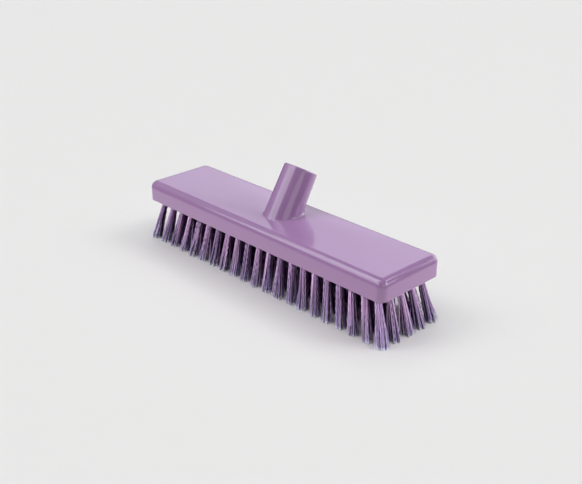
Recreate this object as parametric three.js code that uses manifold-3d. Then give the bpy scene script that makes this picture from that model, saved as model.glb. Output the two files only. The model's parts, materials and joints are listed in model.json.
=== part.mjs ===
// Floor scrub brush: a moulded block with a leaning, threaded handle socket and fanned bristle tufts.
// Millimetres, +Z up. The origin lies on the floor, under the middle of the block.
import * as THREE from 'three';
import { mergeGeometries, mergeVertices } from 'three/addons/utils/BufferGeometryUtils.js';
import Module from 'manifold-3d';

const wasm = await Module();
wasm.setup();

// Block
const blockLength = 305;
const blockWidth = 75;
const blockHeight = 19.5;
const cornerRadius = 7.5; // upright corners, seen from above
const topRound = 7; // round along the top edge
const lowerEdgeRound = 0.8;
const trayWall = 5; // wall left around the tray in the underside

// Handle socket
const socketLean = THREE.MathUtils.degToRad(31); // from upright, towards +Y
const socketSetBack = 2.6; // socket axis behind the block's middle, at the block's top
const socketLength = 43.5; // along the axis, from the block's top to the mouth
const socketBaseRadius = 16.8;
const socketMouthRadius = 16;
const socketRimRound = 1.5;
const socketBaseFillet = 1.6;
const boreRadius = 11; // over the thread's crests
const boreDepth = 36;
const boreLeadIn = 1.2;
const threadDepth = 1.5;
const threadPitch = 6;
const threadTurns = 4.5;
const threadStart = THREE.MathUtils.degToRad(2.5); // keeps its steps off the bore's facet edges
const threadCrestShare = 0.45; // of the pitch, at the bore's wall
const threadRootShare = 0.6;

// Bristle tufts
const tuftColumns = 21;
const tuftRows = 5;
const tuftEndInset = 13.5; // from the block's end to the last column's roots
const tuftSideInset = 11; // from the block's side to the outer rows' roots
const tuftEndFan = 11.8; // how far the last column's tips stand out past their roots
const tuftSideFan = 5.7;
const bristleLength = 42;
const strandsPerTuft = 4;
const strandSides = 3;
const strandRootRadius = 1.1;
const strandTipRadius = 1.8;
const tuftRootRing = 1.75; // circle that a tuft's strands stand on
const tuftTipRing = 3;
const strandSink = 0.6; // strands run this far into their backing
const backingThickness = 10;

// Steel anchors, pressed into the folds of the tufts
const anchorThickness = 1;
const anchorWidth = 3.6;
const anchorReach = 6; // from the top of the backing down into the fold
const anchorSpine = 1.4; // height of the bar that joins a column of anchors

// Fits
const clearance = 0.3;
const overcut = 1; // a cutter reaches this far past the face it opens

// Facets
const cornerSteps = 5;
const roundSteps = 5;
const edgeSteps = 2;
const socketSegments = 36;
const filletSteps = 3;
const threadSteps = 20; // in a turn
const halfFacet = Math.PI / socketSegments; // neighbouring round surfaces are turned by this
const turnPerTuft = 2.4; // radians between neighbouring tufts' strand rings

const trayDepth = backingThickness + clearance;
const socketSink = socketBaseFillet; // the socket's foot inside the block
const tuftEndRoot = blockLength / 2 - tuftEndInset;
const tuftSideRoot = blockWidth / 2 - tuftSideInset;

const polypropylene = new THREE.MeshStandardMaterial({ color: 0xa88fb9, roughness: 0.35, metalness: 0 });
const filament = new THREE.MeshStandardMaterial({ color: 0x9a7cab, roughness: 0.45, metalness: 0 });
const steel = new THREE.MeshStandardMaterial({ color: 0xb8bcc2, roughness: 0.3, metalness: 1 });

function toSolid(geometry) {
  const bare = geometry.clone();
  bare.deleteAttribute('normal');
  bare.deleteAttribute('uv');
  const merged = mergeVertices(bare);
  const vertProperties = new Float32Array(merged.attributes.position.array);
  const triVerts = new Uint32Array(merged.index.array);
  return new wasm.Manifold(new wasm.Mesh({ numProp: 3, vertProperties, triVerts }));
}

function toGeometry(solid) {
  const { vertProperties, triVerts } = solid.getMesh();
  const geometry = new THREE.BufferGeometry();
  geometry.setAttribute('position', new THREE.BufferAttribute(vertProperties, 3));
  geometry.setIndex(new THREE.BufferAttribute(triVerts, 1));
  geometry.computeVertexNormals();
  return geometry;
}

function boxSolid(low, high) {
  const size = new THREE.Vector3().subVectors(high, low);
  const middle = new THREE.Vector3().addVectors(low, high).multiplyScalar(0.5);
  return toSolid(new THREE.BoxGeometry(size.x, size.y, size.z).translate(middle.x, middle.y, middle.z));
}

// Closed shell through rings of equal point count, each counterclockwise seen from its end's side.
function loft(rings) {
  const count = rings[0].length;
  const positions = rings.flat().flatMap((point) => point.toArray());
  const last = (rings.length - 1) * count;
  const index = [];
  for (let start = 0; start < last; start += count) {
    for (let i = 0; i < count; i++) {
      const a = start + i;
      const b = start + ((i + 1) % count);
      index.push(a, b, b + count, a, b + count, a + count);
    }
  }
  for (let i = 1; i < count - 1; i++) {
    index.push(0, i + 1, i, last, last + i, last + i + 1);
  }
  const geometry = new THREE.BufferGeometry();
  geometry.setAttribute('position', new THREE.Float32BufferAttribute(positions, 3));
  geometry.setIndex(index);
  return geometry;
}

// The block's outline, drawn in by an inset, at one height.
function blockRing(inset, height) {
  const radius = Math.max(cornerRadius - inset, clearance);
  const x = blockLength / 2 - inset - radius;
  const y = blockWidth / 2 - inset - radius;
  const corners = [[x, y], [-x, y], [-x, -y], [x, -y]];
  const ring = [];
  corners.forEach(([cx, cy], corner) => {
    for (let step = 0; step <= cornerSteps; step++) {
      const angle = (corner + step / cornerSteps) * Math.PI / 2;
      ring.push(new THREE.Vector3(cx + radius * Math.cos(angle), cy + radius * Math.sin(angle), height));
    }
  });
  return ring;
}

function blockBody() {
  const rings = [];
  for (let step = 0; step <= edgeSteps; step++) {
    const angle = step / edgeSteps * Math.PI / 2;
    rings.push(blockRing(lowerEdgeRound * (1 - Math.sin(angle)), lowerEdgeRound * (1 - Math.cos(angle))));
  }
  for (let step = 0; step <= roundSteps; step++) {
    const angle = step / roundSteps * Math.PI / 2;
    const height = blockHeight - topRound * (1 - Math.sin(angle));
    rings.push(blockRing(topRound * (1 - Math.cos(angle)), height));
  }
  return toSolid(loft(rings));
}

// Turns a shape drawn round +Y into the socket's place on the block's top.
function seatOnSocketAxis(geometry) {
  return geometry
    .rotateX(Math.PI / 2 - socketLean)
    .translate(0, socketSetBack, blockHeight);
}

function socketOutside() {
  const profile = new THREE.Path();
  profile.moveTo(0, -blockHeight);
  profile.lineTo(socketBaseRadius, -blockHeight);
  profile.lineTo(socketBaseRadius, 0);
  profile.lineTo(socketMouthRadius, socketLength - socketRimRound);
  const rim = socketMouthRadius - socketRimRound;
  profile.absarc(rim, socketLength - socketRimRound, socketRimRound, 0, Math.PI / 2, false);
  profile.lineTo(0, socketLength);
  const turned = new THREE.LatheGeometry(profile.getPoints(filletSteps), socketSegments);
  const reach = blockLength / 2;
  const buried = boxSolid(
    new THREE.Vector3(-reach, -reach, -reach),
    new THREE.Vector3(reach, reach, blockHeight - socketSink),
  );
  return toSolid(seatOnSocketAxis(turned)).subtract(buried);
}

// Concave fillet where the socket's leaning wall meets the flat top, as a stack of ellipses.
function socketFoot() {
  const rings = [];
  const addRing = (rise, flare) => {
    const ring = [];
    for (let i = 0; i < socketSegments; i++) {
      const angle = halfFacet * (2 * i + 1);
      const x = (socketBaseRadius + flare) * Math.cos(angle);
      const y = (socketBaseRadius / Math.cos(socketLean) + flare) * Math.sin(angle);
      const middle = socketSetBack + rise * Math.tan(socketLean);
      ring.push(new THREE.Vector3(x, middle + y, blockHeight + rise));
    }
    rings.push(ring);
  };
  addRing(-socketSink, socketBaseFillet);
  for (let step = 0; step <= filletSteps; step++) {
    const angle = step / filletSteps * Math.PI / 2;
    addRing(socketBaseFillet * (1 - Math.cos(angle)), socketBaseFillet * (1 - Math.sin(angle)) - clearance);
  }
  return toSolid(loft(rings));
}

function socketBore() {
  const profile = [
    new THREE.Vector2(0, socketLength - boreDepth),
    new THREE.Vector2(boreRadius, socketLength - boreDepth),
    new THREE.Vector2(boreRadius, socketLength - boreLeadIn),
    new THREE.Vector2(boreRadius + boreLeadIn + overcut, socketLength + overcut),
    new THREE.Vector2(0, socketLength + overcut),
  ];
  return toSolid(seatOnSocketAxis(new THREE.LatheGeometry(profile, socketSegments, halfFacet)));
}

// Helical groove of the handle thread, cut outwards from the bore and running out at the mouth.
function socketThread() {
  const rings = [];
  const count = Math.round(threadTurns * threadSteps);
  for (let step = 0; step <= count; step++) {
    const angle = threadStart + step / threadSteps * Math.PI * 2;
    const along = socketLength + threadPitch / 2 - step / threadSteps * threadPitch;
    const inner = boreRadius - overcut;
    const outer = boreRadius + threadDepth;
    const crest = threadPitch * threadCrestShare / 2;
    const root = threadPitch * threadRootShare / 2;
    const section = [[inner, -root], [inner, root], [outer, crest], [outer, -crest]];
    rings.push(section.map(([radius, offset]) => new THREE.Vector3(
      radius * Math.sin(angle),
      along + offset,
      radius * Math.cos(angle),
    )));
  }
  return toSolid(seatOnSocketAxis(loft(rings)));
}

function trayCutter() {
  const x = blockLength / 2 - trayWall;
  const y = blockWidth / 2 - trayWall;
  return boxSolid(new THREE.Vector3(-x, -y, -overcut), new THREE.Vector3(x, y, trayDepth));
}

function brushBlock() {
  const solid = blockBody()
    .add(socketOutside())
    .add(socketFoot())
    .subtract(socketBore())
    .subtract(socketThread())
    .subtract(trayCutter());
  return toGeometry(solid);
}

// Places of a tuft's middle at a height over the block's underside: the rows fan out downwards.
function tuftX(column, height) {
  const share = 2 * column / (tuftColumns - 1) - 1;
  return share * (tuftEndRoot - tuftEndFan * height / bristleLength);
}

function tuftY(row, height) {
  const share = 2 * row / (tuftRows - 1) - 1;
  return share * (tuftSideRoot - tuftSideFan * height / bristleLength);
}

function strand(column, row, number) {
  const tuft = row * tuftColumns + column;
  const bearing = tuft * turnPerTuft + number / strandsPerTuft * Math.PI * 2;
  const ringAt = (height) => {
    const down = -height / bristleLength;
    const spread = THREE.MathUtils.lerp(tuftRootRing, tuftTipRing, down);
    const radius = THREE.MathUtils.lerp(strandRootRadius, strandTipRadius, down);
    const x = tuftX(column, height) + spread * Math.cos(bearing);
    const y = tuftY(row, height) + spread * Math.sin(bearing);
    const ring = [];
    for (let side = 0; side < strandSides; side++) {
      const angle = bearing + side / strandSides * Math.PI * 2;
      ring.push(new THREE.Vector3(
        x + radius * Math.cos(angle),
        y + radius * Math.sin(angle),
        height,
      ));
    }
    return ring;
  };
  return loft([ringAt(-bristleLength), ringAt(strandSink)]);
}

// Five flat anchors and the bar that joins them, drawn in the YZ plane and hung from their top edge.
function anchorStrip(grow) {
  const foldHeight = backingThickness - anchorReach;
  const half = anchorWidth / 2 + grow;
  const outline = new THREE.Shape();
  outline.moveTo(tuftY(0, foldHeight) - half, grow);
  for (let row = 0; row < tuftRows; row++) {
    const y = tuftY(row, foldHeight);
    outline.lineTo(y - half, row === 0 ? grow : -anchorSpine - grow);
    outline.lineTo(y - half, -anchorReach - grow);
    outline.lineTo(y + half, -anchorReach - grow);
    outline.lineTo(y + half, row === tuftRows - 1 ? grow : -anchorSpine - grow);
  }
  const depth = anchorThickness + 2 * grow;
  const geometry = new THREE.ExtrudeGeometry(outline, { depth, bevelEnabled: false });
  const basis = new THREE.Matrix4().makeBasis(
    new THREE.Vector3(0, 1, 0),
    new THREE.Vector3(0, 0, 1),
    new THREE.Vector3(1, 0, 0),
  );
  return geometry.translate(0, 0, -depth / 2).applyMatrix4(basis);
}

function anchorX(column) {
  return tuftX(column, backingThickness - anchorReach);
}

// Some rows of tufts, fused to their strip of the backing that fills the tray.
function tuftBed(firstRow, lastRow) {
  const x = blockLength / 2 - trayWall - clearance;
  const edge = blockWidth / 2 - trayWall - clearance;
  const between = (row) => (tuftY(row, 0) + tuftY(row + 1, 0)) / 2;
  const low = firstRow === 0 ? -edge : between(firstRow - 1) + clearance / 2;
  const high = lastRow === tuftRows - 1 ? edge : between(lastRow) - clearance / 2;
  let solid = boxSolid(new THREE.Vector3(-x, low, 0), new THREE.Vector3(x, high, backingThickness));
  const strands = [];
  for (let column = 0; column < tuftColumns; column++) {
    for (let row = firstRow; row <= lastRow; row++) {
      for (let number = 0; number < strandsPerTuft; number++) {
        strands.push(strand(column, row, number));
      }
    }
  }
  solid = solid.add(toSolid(mergeGeometries(strands)));
  const slot = anchorStrip(clearance);
  for (let column = 0; column < tuftColumns; column++) {
    solid = solid.subtract(toSolid(slot.clone().translate(anchorX(column), 0, backingThickness)));
  }
  return toGeometry(solid);
}

function namedMesh(name, geometry, material) {
  const mesh = new THREE.Mesh(geometry, material);
  mesh.name = name;
  return mesh;
}

// Everything hangs from the block's underside, which stands on the bristles.
const head = new THREE.Group();
head.position.z = bristleLength;
head.add(namedMesh('brush_block', brushBlock(), polypropylene));
head.add(namedMesh('front_tufts', tuftBed(0, 0), filament));
head.add(namedMesh('middle_tufts', tuftBed(1, tuftRows - 2), filament));
head.add(namedMesh('rear_tufts', tuftBed(tuftRows - 1, tuftRows - 1), filament));

const stripGeometry = anchorStrip(0);
for (let column = 0; column < tuftColumns; column++) {
  const number = String(column + 1).padStart(2, '0');
  const strip = namedMesh(`anchor_strip_${number}`, stripGeometry, steel);
  strip.position.set(anchorX(column), 0, backingThickness);
  head.add(strip);
}

const floorBrush = new THREE.Group();
floorBrush.add(head);

export default floorBrush;
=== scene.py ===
import json
import math
import bmesh
import bpy
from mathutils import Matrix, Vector

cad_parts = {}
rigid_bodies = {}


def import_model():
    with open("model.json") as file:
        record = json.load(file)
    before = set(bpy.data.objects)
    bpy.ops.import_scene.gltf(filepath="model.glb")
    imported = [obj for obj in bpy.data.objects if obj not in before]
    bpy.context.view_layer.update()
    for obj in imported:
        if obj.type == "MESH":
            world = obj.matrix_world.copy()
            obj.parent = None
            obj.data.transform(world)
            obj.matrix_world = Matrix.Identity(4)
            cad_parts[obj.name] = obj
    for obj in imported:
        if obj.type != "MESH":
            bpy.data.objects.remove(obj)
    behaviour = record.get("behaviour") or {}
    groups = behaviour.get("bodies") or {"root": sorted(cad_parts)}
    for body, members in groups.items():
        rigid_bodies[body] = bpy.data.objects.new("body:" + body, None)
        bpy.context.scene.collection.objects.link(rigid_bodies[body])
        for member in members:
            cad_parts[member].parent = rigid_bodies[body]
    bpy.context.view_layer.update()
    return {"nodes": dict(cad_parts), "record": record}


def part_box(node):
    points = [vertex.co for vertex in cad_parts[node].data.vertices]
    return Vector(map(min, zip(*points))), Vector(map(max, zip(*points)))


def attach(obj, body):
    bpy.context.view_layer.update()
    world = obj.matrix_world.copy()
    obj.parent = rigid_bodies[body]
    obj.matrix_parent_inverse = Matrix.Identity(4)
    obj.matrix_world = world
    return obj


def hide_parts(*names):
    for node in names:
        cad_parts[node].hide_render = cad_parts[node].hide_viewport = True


for leftOver in list(bpy.data.objects):  # a new file's own cube, lamp and camera
    bpy.data.objects.remove(leftOver)

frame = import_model()
print("frame loaded,", len(frame["nodes"]), "solids")

scene = bpy.context.scene
scene.view_settings.view_transform = "Standard"
mm = 0.001  # sizes in the dictionaries are millimetres

# places that the solids give
blockLow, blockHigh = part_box("brush_block")
mounts = {mount["name"]: mount for mount in frame["record"]["mounts"]}
topHeight = mounts["block_top"]["pos_m"][2]
underside = blockLow.z
halfLength = blockHigh.x
halfWidth = -blockLow.y
socketAxis = Vector(mounts["socket_rim"]["axis"]).normalized()
rimPoint = Vector(mounts["socket_rim"]["pos_m"])
mouthCentre = Vector((0, rimPoint.y, rimPoint.z))
socketLength = (mouthCentre.z - topHeight) / socketAxis.z
socketFoot = mouthCentre - socketAxis * socketLength  # where the axis meets the flat top


def hexColour(text):
    channels = [int(text[i:i + 2], 16) / 255 for i in (1, 3, 5)]
    linear = [c / 12.92 if c <= 0.04045 else ((c + 0.055) / 1.055) ** 2.4 for c in channels]
    return (*linear, 1)


def addNode(tree, kind, inputs=None, **settings):
    node = tree.nodes.new(kind)
    for name, value in settings.items():
        setattr(node, name, value)
    for socket, value in (inputs or {}).items():
        if isinstance(value, bpy.types.Node):
            value = value.outputs[0]
        if isinstance(value, bpy.types.NodeSocket):
            tree.links.new(value, node.inputs[socket])
        else:
            node.inputs[socket].default_value = value
    return node


def newMaterial(name):
    material = bpy.data.materials.new(name)
    material.use_nodes = True
    material.node_tree.nodes.clear()
    return material, material.node_tree


# what a soft box may light, where outside is the block with the tufts round its edge
groupNames = ("block", "sideTufts", "endTufts", "outside", "floor")
lightGroups = {name: bpy.data.collections.new(name) for name in groupNames}


def litBy(piece, *groups):
    for group in groups:
        lightGroups[group].objects.link(piece)


def meshObject(name, mesh, material):
    piece = bpy.data.objects.new(name, mesh)
    scene.collection.objects.link(piece)
    if material and not mesh.materials:
        mesh.materials.append(material)
    return piece


# Camera

cameraView = {
    "azimuth": 46.23, "elevation": 24.46, "distance": 824.1,  # degrees and millimetres
    "lens": 55.42, "sensor": 36.0,
    "shiftX": 0.0167, "shiftY": -0.0149,
}


def makeCamera(view):
    data = bpy.data.cameras.new("photoCamera")
    data.lens = view["lens"]
    data.sensor_width = view["sensor"]
    data.shift_x = view["shiftX"]
    data.shift_y = view["shiftY"]
    data.dof.use_dof = False
    camera = bpy.data.objects.new("photoCamera", data)
    scene.collection.objects.link(camera)
    turn = math.radians(view["azimuth"])
    lift = math.radians(view["elevation"])
    back = Vector((math.sin(turn) * math.cos(lift), -math.cos(turn) * math.cos(lift), math.sin(lift)))
    camera.location = Vector((0, 0, underside)) + back * view["distance"] * mm
    camera.rotation_euler = (-back).to_track_quat("-Z", "Y").to_euler()
    scene.camera = camera
    print("camera at", [round(v, 4) for v in camera.location])


makeCamera(cameraView)


# Moulded polypropylene: a satin skin from a lightly eroded steel mould, so highlights are soft
# and the flat faces ripple a little where the thick section shrank.

polypropyleneLook = {
    "colour": "#a37ca6", "paler": "#a780aa",
    "roughness": 0.10, "ior": 1.49,
    "shrinkRipple": 38.0, "rippleDepth": 0.6, "rippleStrength": 0.25,  # width and depth in mm
    "mouldGrain": 0.9, "grainDepth": 0.06, "grainStrength": 0.12, "glossSpread": 0.03,
}


def makePolypropylene(look):
    material, tree = newMaterial("moulded_polypropylene")
    place = addNode(tree, "ShaderNodeTexCoord").outputs["Object"]
    cloud = addNode(tree, "ShaderNodeTexNoise",
                    {"Vector": place, "Scale": 1 / (look["shrinkRipple"] * mm), "Detail": 2.0})
    grain = addNode(tree, "ShaderNodeTexNoise",
                    {"Vector": place, "Scale": 1 / (look["mouldGrain"] * mm), "Detail": 3.0})
    tint = addNode(tree, "ShaderNodeMix",
                   {0: cloud.outputs["Fac"], 6: hexColour(look["colour"]), 7: hexColour(look["paler"])},
                   data_type="RGBA")
    gloss = addNode(tree, "ShaderNodeMapRange",
                    {"Value": grain.outputs["Fac"], "To Min": look["roughness"] - look["glossSpread"],
                     "To Max": look["roughness"] + look["glossSpread"]})
    ripple = addNode(tree, "ShaderNodeBump",
                     {"Height": cloud.outputs["Fac"], "Strength": look["rippleStrength"],
                      "Distance": look["rippleDepth"] * mm})
    skin = addNode(tree, "ShaderNodeBump",
                   {"Height": grain.outputs["Fac"], "Strength": look["grainStrength"],
                    "Distance": look["grainDepth"] * mm, "Normal": ripple.outputs["Normal"]})
    shader = addNode(tree, "ShaderNodeBsdfPrincipled",
                     {"Base Color": tint.outputs[2], "Roughness": gloss.outputs["Result"],
                      "IOR": look["ior"], "Normal": skin.outputs["Normal"]})
    addNode(tree, "ShaderNodeOutputMaterial", {"Surface": shader.outputs["BSDF"]})
    return material


# Extruded polyester filament: smooth round threads, each a touch lighter or darker at random, with painted
# light and shade per clump; painted bluish shade makes them greyer, bluer and darker down their lower half,
# and the cut ends are pale, partly the cut's own whitish look and partly a painted highlight.

filamentLook = {
    # the bluish grey is painted shade down the lower half; the pale blue-white is the cut ends, partly a
    # painted highlight
    "dark": "#5e4c80", "light": "#e4bee4", "tipShade": "#857ca6", "cut": "#dcdcf0",
    "tipShadeFrom": 0.45, "tipShadeShare": 0.75, "cutSheenFrom": 0.93, "cutSheenShare": 0.8,  # along the filament
    "roughness": 0.38, "ior": 1.57,
}


def makeFilament(look):
    material, tree = newMaterial("extruded_polyester_filament")
    # each filament's tone, with its clump's painted light and shade mixed in
    tone = addNode(tree, "ShaderNodeAttribute", attribute_name="filamentToneAndShade")
    reach = addNode(tree, "ShaderNodeAttribute", attribute_name="filamentReach")
    tint = addNode(tree, "ShaderNodeMix",
                   {0: tone.outputs["Fac"], 6: hexColour(look["dark"]), 7: hexColour(look["light"])},
                   data_type="RGBA")
    # painted bluish shade: greyer, bluer and darker from partway down each filament to its tip
    tipShade = addNode(tree, "ShaderNodeMapRange",
                   {"Value": reach.outputs["Fac"], "From Min": look["tipShadeFrom"],
                    "To Max": look["tipShadeShare"]})
    # pale cut ends: partly the cut's own whitish look, partly a painted highlight for light that the tips
    # don't get
    cut = addNode(tree, "ShaderNodeMapRange",
                  {"Value": reach.outputs["Fac"], "From Min": look["cutSheenFrom"],
                   "To Max": look["cutSheenShare"]})
    colour = addNode(tree, "ShaderNodeMix",
                     {0: tipShade.outputs["Result"], 6: tint.outputs[2], 7: hexColour(look["tipShade"])},
                     data_type="RGBA")
    colour = addNode(tree, "ShaderNodeMix",
                     {0: cut.outputs["Result"], 6: colour.outputs[2], 7: hexColour(look["cut"])},
                     data_type="RGBA")
    shader = addNode(tree, "ShaderNodeBsdfPrincipled",
                     {"Base Color": colour.outputs[2], "Roughness": look["roughness"],
                      "IOR": look["ior"]})
    addNode(tree, "ShaderNodeOutputMaterial", {"Surface": shader.outputs["BSDF"]})
    return material


# Drawn stainless wire: bright, with fine die marks in its gloss.

steelLook = {"colour": "#c3c4c7", "smoothest": 0.2, "roughest": 0.4, "dieMark": 0.15}  # one mark, mm


def makeSteel(look):
    material, tree = newMaterial("drawn_stainless_wire")
    place = addNode(tree, "ShaderNodeTexCoord").outputs["Object"]
    marks = addNode(tree, "ShaderNodeTexNoise",
                    {"Vector": place, "Scale": 1 / (look["dieMark"] * mm), "Detail": 2.0})
    gloss = addNode(tree, "ShaderNodeMapRange",
                    {"Value": marks.outputs["Fac"], "To Min": look["smoothest"],
                     "To Max": look["roughest"]})
    shader = addNode(tree, "ShaderNodeBsdfPrincipled",
                     {"Base Color": hexColour(look["colour"]), "Metallic": 1.0,
                      "Roughness": gloss.outputs["Result"]})
    addNode(tree, "ShaderNodeOutputMaterial", {"Surface": shader.outputs["BSDF"]})
    return material


polypropylene = makePolypropylene(polypropyleneLook)
filament = makeFilament(filamentLook)
steel = makeSteel(steelLook)
print("materials made")


# Tuft pattern, shared by the block's holes, the bristles and their staples

tuftPattern = {
    "columns": 21, "rows": 5,
    "endInset": 13.5, "sideInset": 11.0,  # block's edge to the outer tufts' roots
    "endFan": 11.8, "sideFan": 5.7,  # tips stand out this far past their roots
    "holeRadius": 2.75, "holeDepth": 12.0, "holeRim": 0.35,
}
endRoot = halfLength - tuftPattern["endInset"] * mm
sideRoot = halfWidth - tuftPattern["sideInset"] * mm


def tuftRoot(column, row):
    x = (2 * column / (tuftPattern["columns"] - 1) - 1) * endRoot
    y = (2 * row / (tuftPattern["rows"] - 1) - 1) * sideRoot
    return Vector((x, y, underside))


def tuftLean(root):  # sideways run for one unit of drop
    return Vector((root.x / endRoot * tuftPattern["endFan"] * mm / underside,
                   root.y / sideRoot * tuftPattern["sideFan"] * mm / underside, 0))


# Block with its leaning handle socket, one closed moulding

blockShape = {
    "cornerRadius": 7.5, "tightestCorner": 0.3, "topRound": 7.0, "lowerRound": 0.8,
    "holdEdge": 0.5,  # narrow strip that keeps the flat faces flat beside a round
    "socketBaseRadius": 16.8, "socketMouthRadius": 16.0, "rimRound": 1.5, "baseFillet": 1.6,
    "rimMargin": 0.2,  # holds the flat rim flat beside its rounds
    "boreRadius": 11.0, "boreDepth": 36.0, "leadIn": 1.2, "leadInStart": 0.15,
    "threadDepth": 1.5, "threadPitch": 6.0, "threadLength": 27.0, "threadRow": 0.45,
    "threadFlank": 1.1, "threadRunIn": 0.8, "threadRunOut": 2.0,
    "cornerSteps": 10, "roundSteps": 12, "edgeSteps": 3, "socketSteps": 96, "holeSteps": 14,
    "filletSteps": 6, "wallSteps": 8, "rimSteps": 6,
}


def blockRing(shape, inset, height):
    radius = max(shape["cornerRadius"] - inset, shape["tightestCorner"]) * mm
    x = halfLength - inset * mm - radius
    y = halfWidth - inset * mm - radius
    ring = []
    for corner, (cx, cy) in enumerate([(x, y), (-x, y), (-x, -y), (x, -y)]):
        for step in range(shape["cornerSteps"] + 1):
            angle = (corner + step / shape["cornerSteps"]) * math.pi / 2
            ring.append(Vector((cx + radius * math.cos(angle), cy + radius * math.sin(angle), height)))
    return ring


def addRing(bm, points):
    return [bm.verts.new(point) for point in points]


def joinRings(bm, lower, upper):
    for i in range(len(lower)):
        j = (i + 1) % len(lower)
        bm.faces.new((lower[i], lower[j], upper[j], upper[i]))


def ringEdges(bm, ring):
    return [bm.edges.get((ring[i], ring[i - 1])) or bm.edges.new((ring[i], ring[i - 1]))
            for i in range(len(ring))]


def tuftHole(bm, shape, root):
    lean = tuftLean(root)
    rim = tuftPattern["holeRim"] * mm
    radius = tuftPattern["holeRadius"] * mm
    levels = [(0, radius + rim), (rim, radius), (tuftPattern["holeDepth"] * mm, radius)]
    rings = []
    for depth, size in levels:
        centre = root - lean * depth + Vector((0, 0, depth))
        angles = [i / shape["holeSteps"] * 2 * math.pi for i in range(shape["holeSteps"])]
        rings.append(addRing(bm, [centre + size * Vector((math.cos(a), math.sin(a), 0)) for a in angles]))
    for lower, upper in zip(rings, rings[1:]):
        joinRings(bm, upper, lower)
    bm.faces.new(list(reversed(rings[-1])))
    return rings[0]


def blockProfile(shape):
    lower = shape["lowerRound"]
    topRound = shape["topRound"]
    hold = shape["holdEdge"]
    shoulder = topHeight - topRound * mm
    steps = []  # inset in mm and height in m, from the underside up to the flat top
    steps.append((lower + hold, underside))
    for i in range(shape["edgeSteps"] + 1):
        angle = i / shape["edgeSteps"] * math.pi / 2
        steps.append((lower * (1 - math.sin(angle)), underside + lower * (1 - math.cos(angle)) * mm))
    steps.append((0, underside + (lower + hold) * mm))
    steps.append((0, shoulder - hold * mm))
    for i in range(shape["roundSteps"] + 1):
        angle = i / shape["roundSteps"] * math.pi / 2
        steps.append((topRound * (1 - math.cos(angle)), shoulder + topRound * math.sin(angle) * mm))
    steps.append((topRound + hold, topHeight))
    return steps


def socketSide(angle):  # outward direction round the socket's axis
    behind = Vector((0, socketAxis.z, -socketAxis.y))
    return math.cos(angle) * Vector((1, 0, 0)) + math.sin(angle) * behind


def threadRadius(shape, angle, depth):
    turnShare = (depth / shape["threadPitch"] + angle / (2 * math.pi)) % 1
    wave = min(max(0.5 + shape["threadFlank"] * math.cos(2 * math.pi * turnShare), 0), 1)
    runIn = max(0, (depth - shape["leadIn"]) / shape["threadRunIn"])
    runOut = max(0, (shape["threadLength"] - depth) / shape["threadRunOut"])
    fade = min(1, runIn, runOut)
    return shape["boreRadius"] + shape["threadDepth"] * wave * fade


def socketRings(shape):
    angles = [i / shape["socketSteps"] * 2 * math.pi for i in range(shape["socketSteps"])]
    base = shape["socketBaseRadius"] * mm
    mouth = shape["socketMouthRadius"] * mm
    fillet = shape["baseFillet"] * mm
    rimRound = shape["rimRound"] * mm
    length = socketLength / mm
    up = Vector((0, 0, 1))

    def onAxis(along, radius, angle):
        return socketFoot + socketAxis * along + socketSide(angle) * radius

    def rollingCentre(angle):  # of a ball that rolls in the corner between socket and top
        side = socketSide(angle)
        along = (fillet - (base + fillet) * side.z) / socketAxis.z
        return along, socketFoot + socketAxis * along + side * (base + fillet)

    rings = []
    for i in range(shape["filletSteps"] + 1):
        ring = []
        for angle in angles:
            toward = (-up).slerp(-socketSide(angle), i / shape["filletSteps"])
            ring.append(rollingCentre(angle)[1] + toward * fillet)
        rings.append(ring)
    for i in range(1, shape["wallSteps"] + 1):
        share = i / shape["wallSteps"]
        ring = []
        for angle in angles:
            along = rollingCentre(angle)[0]
            ring.append(onAxis(along + (socketLength - rimRound - along) * share,
                               base + (mouth - base) * share, angle))
        rings.append(ring)
    for i in range(1, shape["rimSteps"] + 1):
        turn = i / shape["rimSteps"] * math.pi / 2
        rings.append([onAxis(socketLength - rimRound * (1 - math.sin(turn)),
                             mouth - rimRound * (1 - math.cos(turn)), angle) for angle in angles])
    outerFlat = shape["socketMouthRadius"] - shape["rimRound"] - shape["rimMargin"]
    leadInRadius = shape["boreRadius"] + shape["leadIn"]
    for radius in (outerFlat, leadInRadius + shape["rimMargin"]):
        rings.append([onAxis(socketLength, radius * mm, angle) for angle in angles])
    leadInTop = socketLength - shape["leadInStart"] * mm
    rings.append([onAxis(leadInTop, leadInRadius * mm, angle) for angle in angles])
    rows = int(shape["boreDepth"] / shape["threadRow"])
    for row in range(rows + 1):
        depth = shape["leadIn"] + (shape["boreDepth"] - shape["leadIn"]) * row / rows
        rings.append([onAxis((length - depth) * mm, threadRadius(shape, angle, depth) * mm, angle)
                      for angle in angles])
    return rings


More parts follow.
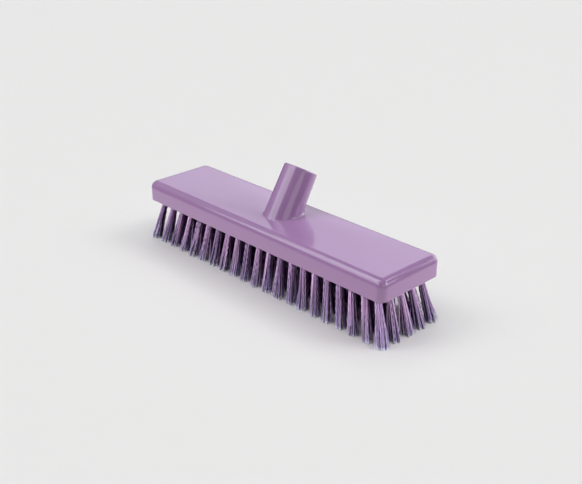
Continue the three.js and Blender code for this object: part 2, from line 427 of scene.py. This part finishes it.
def makeBlock(shape):
    bm = bmesh.new()
    outside = [addRing(bm, blockRing(shape, inset, height)) for inset, height in blockProfile(shape)]
    for lower, upper in zip(outside, outside[1:]):
        joinRings(bm, lower, upper)
    holes = [tuftHole(bm, shape, tuftRoot(column, row))
             for column in range(tuftPattern["columns"]) for row in range(tuftPattern["rows"])]
    flatEdges = ringEdges(bm, outside[0])
    for rim in holes:
        flatEdges += ringEdges(bm, rim)
    bmesh.ops.triangle_fill(bm, edges=flatEdges, use_beauty=True, normal=(0, 0, -1))
    socket = [addRing(bm, ring) for ring in socketRings(shape)]
    for lower, upper in zip(socket, socket[1:]):
        joinRings(bm, lower, upper)
    bm.faces.new(socket[-1])
    topEdges = ringEdges(bm, outside[-1]) + ringEdges(bm, socket[0])
    bmesh.ops.triangle_fill(bm, edges=topEdges, use_beauty=True, normal=(0, 0, 1))
    bmesh.ops.recalc_face_normals(bm, faces=bm.faces)
    for face in bm.faces:
        face.smooth = True
    openEdges = sum(1 for edge in bm.edges if not edge.is_manifold)
    mesh = bpy.data.meshes.new("mouldedBlock")
    bm.to_mesh(mesh)
    bm.free()
    mesh.set_sharp_from_angle(angle=math.radians(40))
    print("block made,", len(mesh.polygons), "faces,", openEdges, "open edges")
    piece = meshObject("moulded_block", mesh, polypropylene)
    litBy(piece, "block", "outside")
    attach(piece, "root")
    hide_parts("brush_block")


makeBlock(blockShape)


# Bristles: one tree grows every tuft of a group from the points of its holes

bristleSizes = {
    "Filaments": 72, "Segments": 16, "Seed": 7,
    "Trim length": underside - 0.2 * mm, "Root sink": 6 * mm,
    "End lean": tuftPattern["endFan"] * mm / endRoot, "Side lean": tuftPattern["sideFan"] * mm / sideRoot,
    "Root radius": 2.3 * mm, "Tip radius": 5.8 * mm, "Opening": 1.0, "Clumping": 0.68,
    "Tuft tilt": 0.7 * mm,
    "Filament radius": 0.32 * mm, "Crimp": 0.3 * mm, "Sway": 0.5 * mm, "Stray": 4.0 * mm,
    "Uneven trim": 0.7 * mm,
}
endSizes = {"Filaments": 96, "Tip radius": 5.8 * mm, "Clumping": 0.5}  # seen against the light
innerSizes = {"Tip radius": 6.4 * mm, "Tuft tilt": 3.2 * mm}  # lean any way, leaving no straight lane
bristleHabits = {
    "clumps": 6, "middleShare": 0.42, "clumpReach": 0.75,  # shares of a tuft's radius
    "strayRarity": 9.0, "strayBend": 1.6,  # powers: few filaments stray, and mostly near their tips
    # the first share below is how much of a filament's tone is its clump's painted light and shade
    "clumpToneAndShade": 0.6, "sides": 3,  # smooth shading rounds a filament's three sides
}
wholeNumbers = ("Filaments", "Segments", "Seed")
goldenTurn = math.pi * (3 - math.sqrt(5))


def newTree(name, sizes, wholes):
    tree = bpy.data.node_groups.new(name, "GeometryNodeTree")
    tree.interface.new_socket("Geometry", in_out="INPUT", socket_type="NodeSocketGeometry")
    for size in sizes:
        kind = "NodeSocketInt" if size in wholes else "NodeSocketFloat"
        tree.interface.new_socket(size, in_out="INPUT", socket_type=kind)
    tree.interface.new_socket("Material", in_out="INPUT", socket_type="NodeSocketMaterial")
    tree.interface.new_socket("Geometry", in_out="OUTPUT", socket_type="NodeSocketGeometry")
    return tree


def strandsFromHoles(tree, given):  # a straight line of points for each filament, with its numbers
    place = addNode(tree, "GeometryNodeInputPosition")
    index = addNode(tree, "GeometryNodeInputIndex")
    holes = addNode(tree, "GeometryNodeStoreNamedAttribute",
                    {"Geometry": given["Geometry"], "Name": "tuftRoot", "Value": place},
                    data_type="FLOAT_VECTOR")
    holes = addNode(tree, "GeometryNodeStoreNamedAttribute",
                    {"Geometry": holes, "Name": "tuftNumber", "Value": index}, data_type="INT")
    bundle = addNode(tree, "GeometryNodePoints", {"Count": given["Filaments"]})
    bundles = addNode(tree, "GeometryNodeInstanceOnPoints", {"Points": holes, "Instance": bundle})
    ends = addNode(tree, "GeometryNodeRealizeInstances", {"Geometry": bundles})
    ends = addNode(tree, "GeometryNodeStoreNamedAttribute",
                   {"Geometry": ends, "Name": "filamentNumber", "Value": index}, data_type="INT")
    points = addNode(tree, "ShaderNodeMath", {0: given["Segments"], 1: 1.0}, operation="ADD")
    line = addNode(tree, "GeometryNodeCurvePrimitiveLine")
    line = addNode(tree, "GeometryNodeResampleCurve", {"Curve": line, "Count": points})
    strands = addNode(tree, "GeometryNodeInstanceOnPoints", {"Points": ends, "Instance": line})
    return addNode(tree, "GeometryNodeRealizeInstances", {"Geometry": strands})


def fannedCentre(tree, given, root, along, number):  # the tuft's own axis, and how far down it is
    cut = addNode(tree, "FunctionNodeRandomValue", {"ID": number, "Seed": given["Seed"]}).outputs[1]
    short = addNode(tree, "ShaderNodeMath", {0: cut, 1: given["Uneven trim"]}, operation="MULTIPLY")
    reach = addNode(tree, "ShaderNodeMath", {0: given["Trim length"], 1: short}, operation="SUBTRACT")
    whole = addNode(tree, "ShaderNodeMath", {0: reach, 1: given["Root sink"]}, operation="ADD")
    run = addNode(tree, "ShaderNodeMath", {0: along, 1: whole}, operation="MULTIPLY")
    drop = addNode(tree, "ShaderNodeMath", {0: run, 1: given["Root sink"]}, operation="SUBTRACT")
    share = addNode(tree, "ShaderNodeMath", {0: drop, 1: given["Trim length"]}, operation="DIVIDE")
    below = addNode(tree, "ShaderNodeClamp", {"Value": share})
    rootParts = addNode(tree, "ShaderNodeSeparateXYZ", {0: root})
    leanX = addNode(tree, "ShaderNodeMath", {0: rootParts.outputs[0], 1: given["End lean"]},
                    operation="MULTIPLY")
    leanY = addNode(tree, "ShaderNodeMath", {0: rootParts.outputs[1], 1: given["Side lean"]},
                    operation="MULTIPLY")
    lean = addNode(tree, "ShaderNodeCombineXYZ", {0: leanX, 1: leanY})
    fan = addNode(tree, "ShaderNodeVectorMath", {0: lean, "Scale": share}, operation="SCALE")
    down = addNode(tree, "ShaderNodeMath", {0: drop, 1: -1.0}, operation="MULTIPLY")
    fall = addNode(tree, "ShaderNodeCombineXYZ", {2: down})
    side = addNode(tree, "ShaderNodeVectorMath", {0: root, 1: fan}, operation="ADD")
    return addNode(tree, "ShaderNodeVectorMath", {0: side, 1: fall}, operation="ADD"), below


def packedOffset(tree, given, tuft, number, below):  # sunflower packing that opens and clumps
    slot = addNode(tree, "ShaderNodeMath", {0: number, 1: given["Filaments"]}, operation="MODULO")
    half = addNode(tree, "ShaderNodeMath", {0: slot, 1: 0.5}, operation="ADD")
    filled = addNode(tree, "ShaderNodeMath", {0: half, 1: given["Filaments"]}, operation="DIVIDE")
    ring = addNode(tree, "ShaderNodeMath", {0: filled}, operation="SQRT")
    bearing = addNode(tree, "ShaderNodeMath", {0: slot, 1: goldenTurn, 2: tuft}, operation="MULTIPLY_ADD")
    east = addNode(tree, "ShaderNodeMath", {0: bearing}, operation="COSINE")
    north = addNode(tree, "ShaderNodeMath", {0: bearing}, operation="SINE")
    around = addNode(tree, "ShaderNodeCombineXYZ", {0: east, 1: north})
    own = addNode(tree, "ShaderNodeVectorMath", {0: around, "Scale": ring}, operation="SCALE")
    # outer filaments draw together in clumps round a middle one
    clumps = bristleHabits["clumps"]
    sector = addNode(tree, "ShaderNodeMath", {0: bearing, 1: 2 * math.pi / clumps}, operation="SNAP")
    clumpEast = addNode(tree, "ShaderNodeMath", {0: sector}, operation="COSINE")
    clumpNorth = addNode(tree, "ShaderNodeMath", {0: sector}, operation="SINE")
    clumpWay = addNode(tree, "ShaderNodeCombineXYZ", {0: clumpEast, 1: clumpNorth})
    outer = addNode(tree, "ShaderNodeMath", {0: ring, 1: bristleHabits["middleShare"]},
                    operation="GREATER_THAN")
    clumpOut = addNode(tree, "ShaderNodeMath", {0: outer, 1: bristleHabits["clumpReach"]},
                       operation="MULTIPLY")
    clump = addNode(tree, "ShaderNodeVectorMath", {0: clumpWay, "Scale": clumpOut}, operation="SCALE")
    opened = addNode(tree, "ShaderNodeMath", {0: below, 1: given["Opening"]}, operation="POWER")
    pull = addNode(tree, "ShaderNodeMath", {0: opened, 1: given["Clumping"]}, operation="MULTIPLY")
    place = addNode(tree, "ShaderNodeMix", {0: pull, 4: own, 5: clump}, data_type="VECTOR").outputs[1]
    spread = addNode(tree, "ShaderNodeMapRange",
                     {"Value": opened, "To Min": given["Root radius"], "To Max": given["Tip radius"]})
    offset = addNode(tree, "ShaderNodeVectorMath", {0: place, "Scale": spread}, operation="SCALE")
    way = addNode(tree, "FunctionNodeRandomValue",
                  {"Min": (-1, -1, 0), "Max": (1, 1, 0), "ID": tuft, "Seed": given["Seed"]},
                  data_type="FLOAT_VECTOR").outputs[0]
    swing = addNode(tree, "ShaderNodeMath", {0: below, 1: given["Tuft tilt"]}, operation="MULTIPLY")
    tilt = addNode(tree, "ShaderNodeVectorMath", {0: way, "Scale": swing}, operation="SCALE")
    # a random tone for each clump: painted light and shade that stands in for the lit and shaded streaks
    # among clumps
    wedge = addNode(tree, "ShaderNodeMath", {0: sector, 1: clumps / (2 * math.pi)}, operation="MULTIPLY")
    wedge = addNode(tree, "ShaderNodeMath", {0: wedge}, operation="ROUND")
    wedge = addNode(tree, "ShaderNodeMath", {0: wedge, 1: clumps}, operation="MODULO")
    clumpNumber = addNode(tree, "ShaderNodeMath", {0: tuft, 1: clumps, 2: wedge}, operation="MULTIPLY_ADD")
    tone = addNode(tree, "FunctionNodeRandomValue", {"ID": clumpNumber, "Seed": given["Seed"]}).outputs[1]
    return addNode(tree, "ShaderNodeVectorMath", {0: offset, 1: tilt}, operation="ADD"), tone


def looseOffset(tree, given, number, along, below):  # sway, a few far strays, and the crimp's zigzag
    def draw(step, vector):
        seed = addNode(tree, "ShaderNodeMath", {0: given["Seed"], 1: step}, operation="ADD")
        if vector:
            return addNode(tree, "FunctionNodeRandomValue",
                           {"Min": (-1, -1, 0), "Max": (1, 1, 0), "ID": number, "Seed": seed},
                           data_type="FLOAT_VECTOR").outputs[0]
        return addNode(tree, "FunctionNodeRandomValue", {"ID": number, "Seed": seed}).outputs[1]

    rare = addNode(tree, "ShaderNodeMath", {0: draw(1.0, False), 1: bristleHabits["strayRarity"]},
                   operation="POWER")
    far = addNode(tree, "ShaderNodeMath", {0: rare, 1: given["Stray"], 2: given["Sway"]},
                  operation="MULTIPLY_ADD")
    bent = addNode(tree, "ShaderNodeMath", {0: below, 1: bristleHabits["strayBend"]}, operation="POWER")
    swing = addNode(tree, "ShaderNodeMath", {0: far, 1: bent}, operation="MULTIPLY")
    stray = addNode(tree, "ShaderNodeVectorMath", {0: draw(2.0, True), "Scale": swing}, operation="SCALE")
    stop = addNode(tree, "ShaderNodeMath", {0: along, 1: given["Segments"]}, operation="MULTIPLY")
    beat = addNode(tree, "ShaderNodeMath", {0: stop, 1: math.pi}, operation="MULTIPLY")
    zigzag = addNode(tree, "ShaderNodeMath", {0: beat}, operation="COSINE")
    wave = addNode(tree, "ShaderNodeMath", {0: zigzag, 1: given["Crimp"]}, operation="MULTIPLY")
    crimp = addNode(tree, "ShaderNodeVectorMath", {0: draw(3.0, True), "Scale": wave}, operation="SCALE")
    tone = draw(4.0, False)
    return addNode(tree, "ShaderNodeVectorMath", {0: stray, 1: crimp}, operation="ADD"), tone


def makeBristleTree():
    tree = newTree("bristleTufts", bristleSizes, wholeNumbers)
    given = addNode(tree, "NodeGroupInput").outputs
    strands = strandsFromHoles(tree, given)
    root = addNode(tree, "GeometryNodeInputNamedAttribute", {"Name": "tuftRoot"}, data_type="FLOAT_VECTOR")
    tuft = addNode(tree, "GeometryNodeInputNamedAttribute", {"Name": "tuftNumber"}, data_type="INT")
    number = addNode(tree, "GeometryNodeInputNamedAttribute", {"Name": "filamentNumber"}, data_type="INT")
    along = addNode(tree, "GeometryNodeSplineParameter").outputs["Factor"]
    centre, below = fannedCentre(tree, given, root, along, number)
    packed, clumpToneAndShade = packedOffset(tree, given, tuft, number, below)
    loose, ownTone = looseOffset(tree, given, number, along, below)
    # mix the clump's painted light and shade with the filament's own random tone
    tone = addNode(tree, "ShaderNodeMix", {0: bristleHabits["clumpToneAndShade"], 2: ownTone, 3: clumpToneAndShade},
                   data_type="FLOAT").outputs[0]
    offset = addNode(tree, "ShaderNodeVectorMath", {0: packed, 1: loose}, operation="ADD")
    place = addNode(tree, "ShaderNodeVectorMath", {0: centre, 1: offset}, operation="ADD")
    strands = addNode(tree, "GeometryNodeSetPosition", {"Geometry": strands, "Position": place})
    # for the material: each filament's tone, with its clump's painted light and shade mixed in, and how far
    # down it a point lies
    strands = addNode(tree, "GeometryNodeStoreNamedAttribute",
                      {"Geometry": strands, "Name": "filamentToneAndShade", "Value": tone}, data_type="FLOAT")
    strands = addNode(tree, "GeometryNodeStoreNamedAttribute",
                      {"Geometry": strands, "Name": "filamentReach", "Value": below}, data_type="FLOAT")
    section = addNode(tree, "GeometryNodeCurvePrimitiveCircle",
                      {"Resolution": bristleHabits["sides"], "Radius": given["Filament radius"]})
    threads = addNode(tree, "GeometryNodeCurveToMesh",
                      {"Curve": strands, "Profile Curve": section, "Fill Caps": True})
    threads = addNode(tree, "GeometryNodeRealizeInstances", {"Geometry": threads})
    threads = addNode(tree, "GeometryNodeSetMaterial",
                      {"Geometry": threads, "Material": given["Material"]})
    addNode(tree, "NodeGroupOutput", {"Geometry": threads})
    return tree


def growMesh(name, tree, sizes, points, material):
    seedMesh = bpy.data.meshes.new(name + "Points")
    seedMesh.from_pydata(points, [], [])
    grower = bpy.data.objects.new(name + "Points", seedMesh)
    scene.collection.objects.link(grower)
    modifier = grower.modifiers.new("grow", "NODES")
    modifier.node_group = tree
    for socket in tree.interface.items_tree:
        if socket.in_out == "INPUT" and socket.name in sizes:
            modifier[socket.identifier] = sizes[socket.name]
        elif socket.name == "Material":
            modifier[socket.identifier] = material
    ready = grower.evaluated_get(bpy.context.evaluated_depsgraph_get())
    mesh = bpy.data.meshes.new_from_object(ready)
    bpy.data.objects.remove(grower)
    mesh.name = name
    return mesh


def tuftGroups():  # name, solid that it stands for, tufts as column and row, lights, own sizes
    lastColumn = tuftPattern["columns"] - 1
    lastRow = tuftPattern["rows"] - 1
    ends = (0, lastColumn)
    between = range(1, lastColumn)
    innerRows = range(1, lastRow)
    groups = [("front_bristles", "front_tufts", [(column, 0) for column in between], ["sideTufts"], {}),
              ("front_end_bristles", "front_tufts", [(column, 0) for column in ends],
               ["sideTufts", "endTufts"], endSizes),
              ("rear_bristles", "rear_tufts", [(column, lastRow) for column in between], ["sideTufts"], {}),
              ("rear_end_bristles", "rear_tufts", [(column, lastRow) for column in ends],
               ["endTufts"], endSizes),
              ("end_bristles", "middle_tufts", [(column, row) for column in ends for row in innerRows],
               ["endTufts"], endSizes)]
    for row in innerRows:
        groups.append((f"inner_bristles_{row}", "middle_tufts", [(column, row) for column in between],
                       [], innerSizes))
    return groups


def makeBristles():
    tree = makeBristleTree()
    for draw, (name, node, tufts, lights, changes) in enumerate(tuftGroups()):
        roots = [tuftRoot(column, row) for column, row in tufts]
        sizes = dict(bristleSizes, Seed=bristleSizes["Seed"] + 10 * draw)
        sizes.update(changes)
        mesh = growMesh(name, tree, sizes, roots, filament)
        for face in mesh.polygons:
            face.use_smooth = True
        piece = meshObject(name, mesh, filament)
        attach(piece, "root")
        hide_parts(node)
        if lights:
            litBy(piece, "outside", *lights)
        print(name, "made,", len(mesh.polygons), "faces")


makeBristles()


# Staples: a bent wire at the end of each hole, over the fold of its tuft

stapleSizes = {"Bend radius": 1.7 * mm, "Wire radius": 0.4 * mm, "Bend points": 9, "Wire sides": 6}
stapleHeight = 9.0  # above the block's face, mm


def makeStaples():
    tree = newTree("tuftStaples", stapleSizes, ("Bend points", "Wire sides"))
    given = addNode(tree, "NodeGroupInput").outputs
    bend = addNode(tree, "GeometryNodeCurveArc",
                   {"Resolution": given["Bend points"], "Radius": given["Bend radius"],
                    "Sweep Angle": math.pi})
    section = addNode(tree, "GeometryNodeCurvePrimitiveCircle",
                      {"Resolution": given["Wire sides"], "Radius": given["Wire radius"]})
    wire = addNode(tree, "GeometryNodeCurveToMesh",
                   {"Curve": bend, "Profile Curve": section, "Fill Caps": True})
    crownDown = addNode(tree, "GeometryNodeTransform",
                        {"Geometry": wire, "Rotation": (-math.pi / 2, 0, 0)})
    placed = addNode(tree, "GeometryNodeInstanceOnPoints",
                     {"Points": given["Geometry"], "Instance": crownDown})
    wires = addNode(tree, "GeometryNodeRealizeInstances", {"Geometry": placed})
    wires = addNode(tree, "GeometryNodeSetMaterial",
                    {"Geometry": wires, "Material": given["Material"]})
    addNode(tree, "NodeGroupOutput", {"Geometry": wires})
    lift = stapleHeight * mm
    points = []
    for column in range(tuftPattern["columns"]):
        for row in range(tuftPattern["rows"]):
            root = tuftRoot(column, row)
            points.append(root - tuftLean(root) * lift + Vector((0, 0, lift)))
    mesh = growMesh("tuftStaples", tree, stapleSizes, points, steel)
    piece = meshObject("tuft_staples", mesh, steel)
    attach(piece, "root")
    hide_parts(*[name for name in frame["nodes"] if name.startswith("anchor_strip")])
    print("staples made,", len(mesh.polygons), "faces")


makeStaples()


# Stage: a pale floor that ends in a cove, a dim dome of light and soft boxes round the brush.
# Each box lights one group alone, so the floor stays even and the spaces between tufts stay deep.

stageLook = {"floorColour": "#e8e8e8", "flatRadius": 6.0, "coveRadius": 4.0,  # metres
             "coveSteps": 16, "roundSteps": 96}
domeLook = {"darkTurn": 45, "darkLift": 28, "dark": 0.6, "rise": 0.1,  # darkest by the camera
            "horizon": 0.02, "colour": "#e0f9ff"}
softBoxes = {
    # turn and lift in degrees seen from the brush, distance, width and height in metres;
    # a glint is only seen mirrored, and a spread under 180 degrees fades the box towards its edges
    "frontLeftBox": {"lights": "block", "turn": -26, "lift": 37, "distance": 8,
                     "width": 7.9, "height": 3.9, "radiance": 4.3, "colour": "#f6f9ff"},
    "highLeftBox": {"lights": "block", "turn": -57, "lift": 60, "distance": 8,
                    "width": 3.3, "height": 3.7, "radiance": 4.9, "colour": "#f6f9ff"},
    "leftBox": {"lights": "block", "turn": -82, "lift": 35, "distance": 8,
                "width": 6.0, "height": 7.0, "radiance": 0.65, "colour": "#f6f9ff"},
    "rightBox": {"lights": "block", "turn": 117, "lift": 23, "distance": 8,
                 "width": 4.2, "height": 4.4, "radiance": 6.2, "colour": "#f6f9ff"},
    "rightRearBox": {"lights": "block", "turn": 164, "lift": 10, "distance": 8,
                     "width": 6.4, "height": 5.8, "radiance": 2.3, "colour": "#f6f9ff"},
    "rearBox": {"lights": "outside", "turn": 195, "lift": 25, "distance": 8, "spread": 120,
                "width": 14.5, "height": 4.0, "radiance": 0.85, "colour": "#f6f9ff"},
    "nearBox": {"lights": "block", "turn": 67, "lift": 13, "distance": 8,
                "width": 4.6, "height": 3.2, "radiance": 1.7, "glint": True},
    "topGlint": {"lights": "block", "turn": -27, "lift": 74, "distance": 8,
                 "width": 2.4, "height": 2.4, "radiance": 8.0, "glint": True},
    "rearGlint": {"lights": "block", "turn": 148, "lift": 44, "distance": 8,
                  "width": 1.8, "height": 1.8, "radiance": 4.0, "glint": True},
    "floorGlow": {"lights": "block", "turn": 0, "lift": -90, "distance": 1,
                  "width": 6.5, "height": 6.5, "radiance": 1.15},
    "sideTuftBox": {"lights": "sideTufts", "turn": -22, "lift": 27, "distance": 8,
                    "width": 4.0, "height": 4.0, "radiance": 23.0},
    "rearTuftBox": {"lights": "sideTufts", "turn": 190, "lift": 20, "distance": 8,
                    "width": 4.0, "height": 4.0, "radiance": 12.0},
    "endTuftBox": {"lights": "endTufts", "turn": 100, "lift": 26, "distance": 8,
                   "width": 4.0, "height": 4.0, "radiance": 18.5},
    "leftTuftBox": {"lights": "endTufts", "turn": -80, "lift": 26, "distance": 8,
                    "width": 4.0, "height": 4.0, "radiance": 15.0},
    "floorBox": {"lights": "floor", "turn": 0, "lift": 90, "distance": 14,
                 "width": 22.0, "height": 22.0, "radiance": 1.69, "colour": "#fffefd"},
    "floorLeftBox": {"lights": "floor", "turn": -45, "lift": 42, "distance": 14,
                     "width": 7.0, "height": 7.0, "radiance": 2.0, "colour": "#fffefd"},
    "floorRightBox": {"lights": "floor", "turn": 135, "lift": 42, "distance": 14,
                      "width": 7.0, "height": 7.0, "radiance": 2.75, "colour": "#fffefd"},
}


def direction(turn, lift):
    turn, lift = math.radians(turn), math.radians(lift)
    return Vector((math.sin(turn) * math.cos(lift), -math.cos(turn) * math.cos(lift), math.sin(lift)))


def makeFloor(look):
    material, tree = newMaterial("studio_floor")
    paper = addNode(tree, "ShaderNodeBsdfDiffuse", {"Color": hexColour(look["floorColour"])})
    addNode(tree, "ShaderNodeOutputMaterial", {"Surface": paper})
    angles = [i / look["roundSteps"] * 2 * math.pi for i in range(look["roundSteps"])]
    bm = bmesh.new()
    rings = []
    for step in range(look["coveSteps"] + 1):  # the flat floor, then a cove that rises all round it
        rise = step / look["coveSteps"] * math.pi / 2
        radius = look["flatRadius"] + look["coveRadius"] * math.sin(rise)
        height = look["coveRadius"] * (1 - math.cos(rise))
        rings.append(addRing(bm, [(radius * math.cos(a), radius * math.sin(a), height) for a in angles]))
    bm.faces.new(rings[0])
    for inner, outer in zip(rings, rings[1:]):
        joinRings(bm, outer, inner)
    for face in bm.faces:
        face.smooth = True
    mesh = bpy.data.meshes.new("floor")
    bm.to_mesh(mesh)
    bm.free()
    floor = meshObject("floor", mesh, material)
    floor.visible_diffuse = False  # floorGlow sends its bounce and its mirror image to the block alone
    floor.visible_glossy = False
    floor.visible_shadow = False
    litBy(floor, "floor")


def makeDome(look):
    world = bpy.data.worlds.new("studio")
    scene.world = world
    world.use_nodes = True
    tree = world.node_tree
    tree.nodes.clear()
    way = addNode(tree, "ShaderNodeTexCoord").outputs["Generated"]
    dark = direction(look["darkTurn"], look["darkLift"])
    away = addNode(tree, "ShaderNodeVectorMath", {0: way, 1: dark}, operation="DISTANCE").outputs["Value"]
    level = addNode(tree, "ShaderNodeMapRange",
                    {"Value": away, "From Min": look["dark"], "From Max": 2.0,
                     "To Max": look["rise"] * (2 - look["dark"])})
    height = addNode(tree, "ShaderNodeSeparateXYZ", {0: way}).outputs["Z"]
    above = addNode(tree, "ShaderNodeMapRange",
                    {"Value": height, "From Min": -look["horizon"], "From Max": look["horizon"]})
    level = addNode(tree, "ShaderNodeMath", {0: level, 1: above}, operation="MULTIPLY")
    glow = addNode(tree, "ShaderNodeBackground", {"Color": hexColour(look["colour"]), "Strength": level})
    addNode(tree, "ShaderNodeOutputWorld", {"Surface": glow})


def makeSoftBoxes(boxes):
    aim = Vector((0, 0, underside))
    for name, box in boxes.items():
        data = bpy.data.lights.new(name, "AREA")
        data.shape = "RECTANGLE"
        data.size = box["width"]
        data.size_y = box["height"]
        data.energy = box["radiance"] * math.pi * box["width"] * box["height"]
        data.color = hexColour(box.get("colour", "#ffffff"))[:3]
        data.spread = math.radians(box.get("spread", 180))
        lamp = bpy.data.objects.new(name, data)
        scene.collection.objects.link(lamp)
        toward = direction(box["turn"], box["lift"])
        lamp.location = aim + toward * box["distance"]
        lamp.rotation_euler = toward.to_track_quat("Z", "Y").to_euler()
        lamp.visible_diffuse = not box.get("glint", False)
        lamp.light_linking.receiver_collection = lightGroups[box["lights"]]


makeFloor(stageLook)
makeDome(domeLook)
makeSoftBoxes(softBoxes)
print("stage made")
